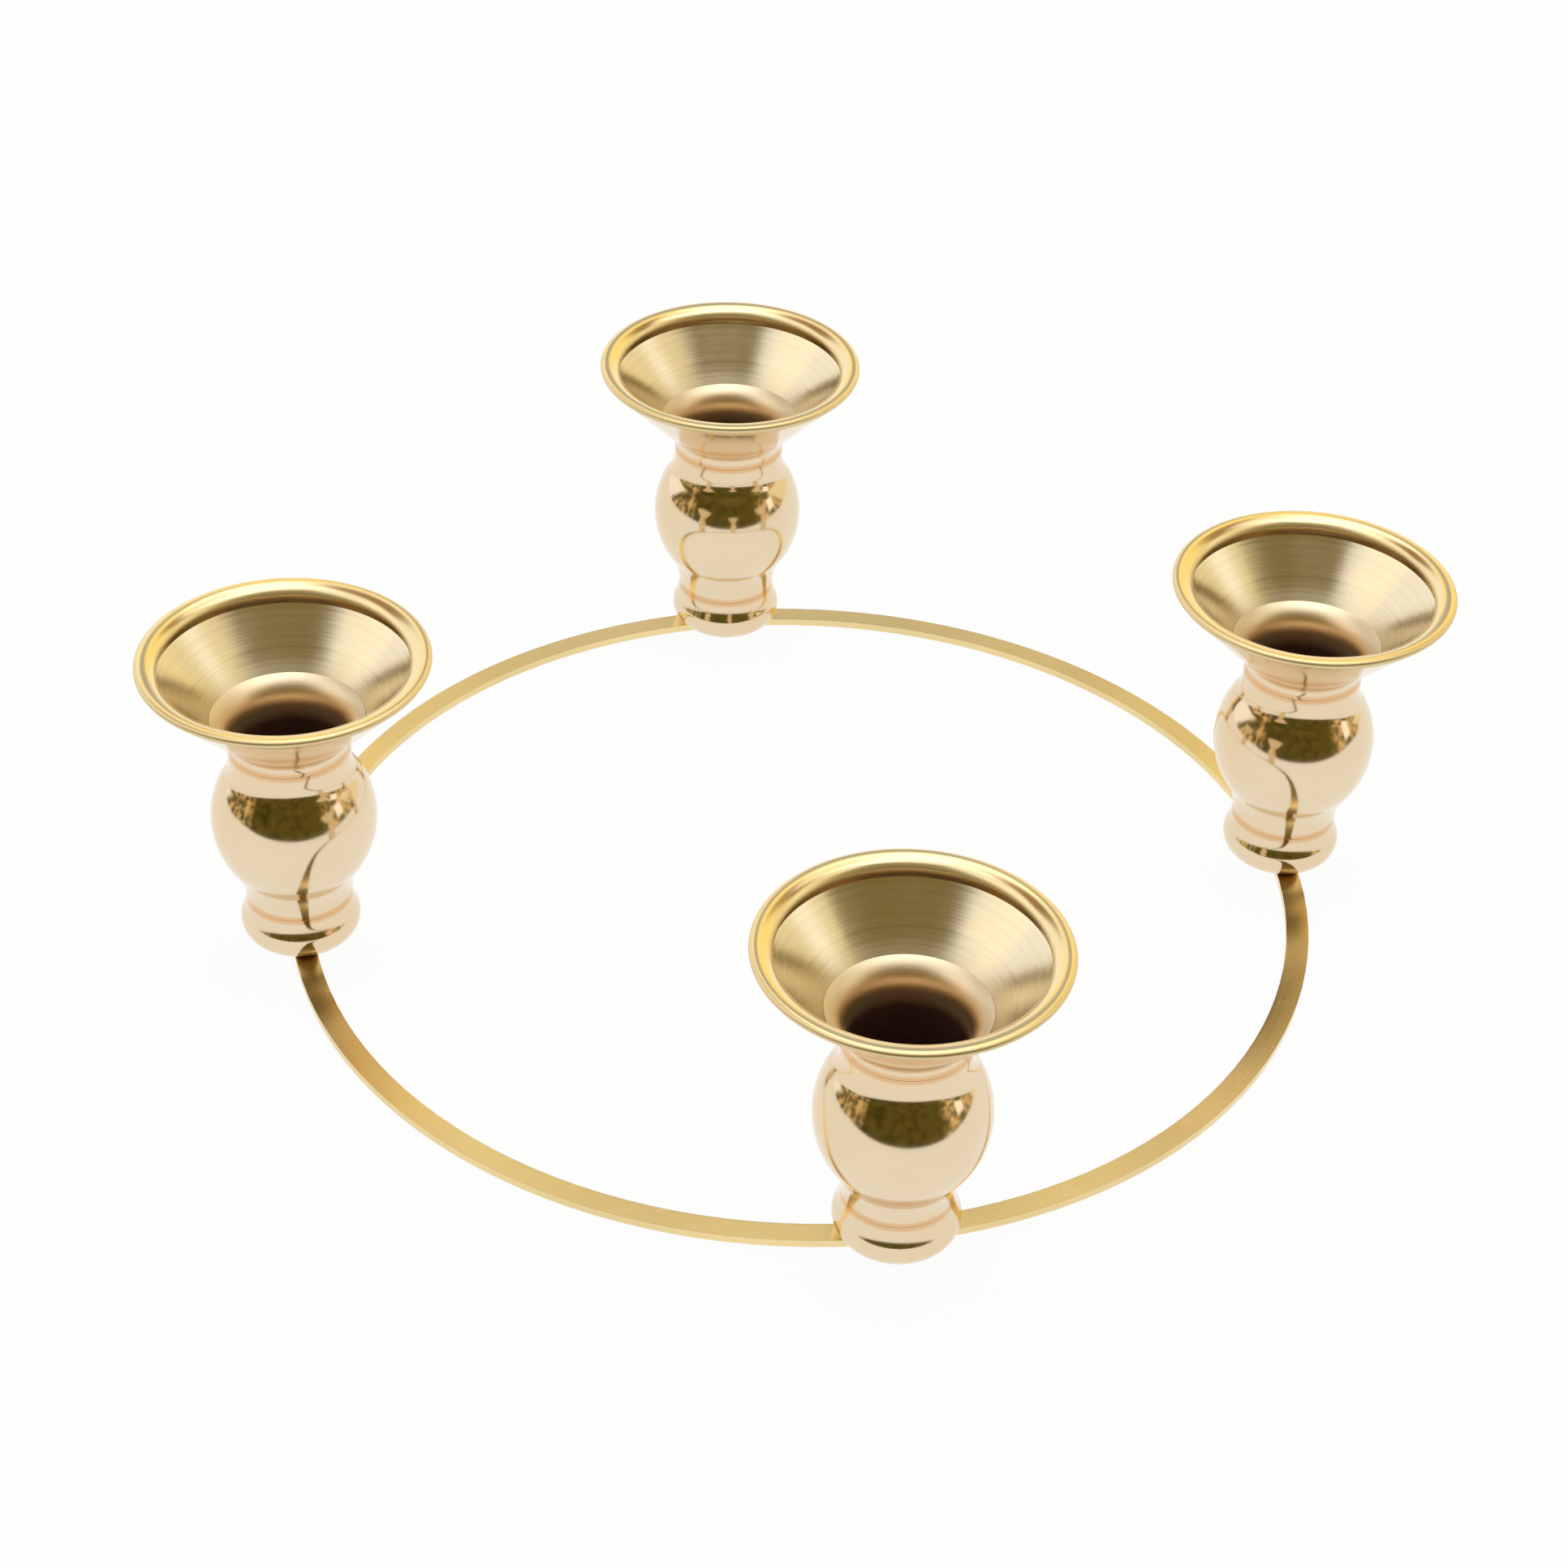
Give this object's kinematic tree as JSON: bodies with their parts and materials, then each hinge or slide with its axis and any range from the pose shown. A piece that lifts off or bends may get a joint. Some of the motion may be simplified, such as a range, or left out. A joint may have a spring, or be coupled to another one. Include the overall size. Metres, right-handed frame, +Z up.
{
  "type": "advent candle holder",
  "caption": "Polished brass table ring of flat strip carrying hollow balls on turned bases, each topped by a flared drip bowl with a rolled rim and a round candle socket.",
  "frame": {"origin": "centre of the ring, on the plane it stands on", "axes": "+Z up along the candles; +X and +Y each through a station's centre"},
  "size_m": [0.2682, 0.2682, 0.0697],
  "materials": {
    "ring_brass": "satin rolled strip",
    "base_brass": "mirror polished, turned",
    "ball_brass": "mirror polished",
    "bowl_brass": "mirror polished outside, spun lines inside",
    "socket_brass": "dull drawn tube",
    "floor_brass": "dull pressed sheet",
    "fastener_steel": "plain zinc"
  },
  "bodies": {
    "root": {"ring": "ring_brass", "base_1": "base_brass", "ball_1": "ball_brass", "drip_bowl_1": "bowl_brass", "socket_tube_1": "socket_brass", "socket_floor_1": "floor_brass", "base_2": "base_brass", "ball_2": "ball_brass", "drip_bowl_2": "bowl_brass", "socket_tube_2": "socket_brass", "socket_floor_2": "floor_brass", "base_3": "base_brass", "ball_3": "ball_brass", "drip_bowl_3": "bowl_brass", "socket_tube_3": "socket_brass", "socket_floor_3": "floor_brass", "base_4": "base_brass", "ball_4": "ball_brass", "drip_bowl_4": "bowl_brass", "socket_tube_4": "socket_brass", "socket_floor_4": "floor_brass", "clamp_screws": "fastener_steel", "washers": "fastener_steel", "nuts": "fastener_steel"}
  },
  "joints": []
}
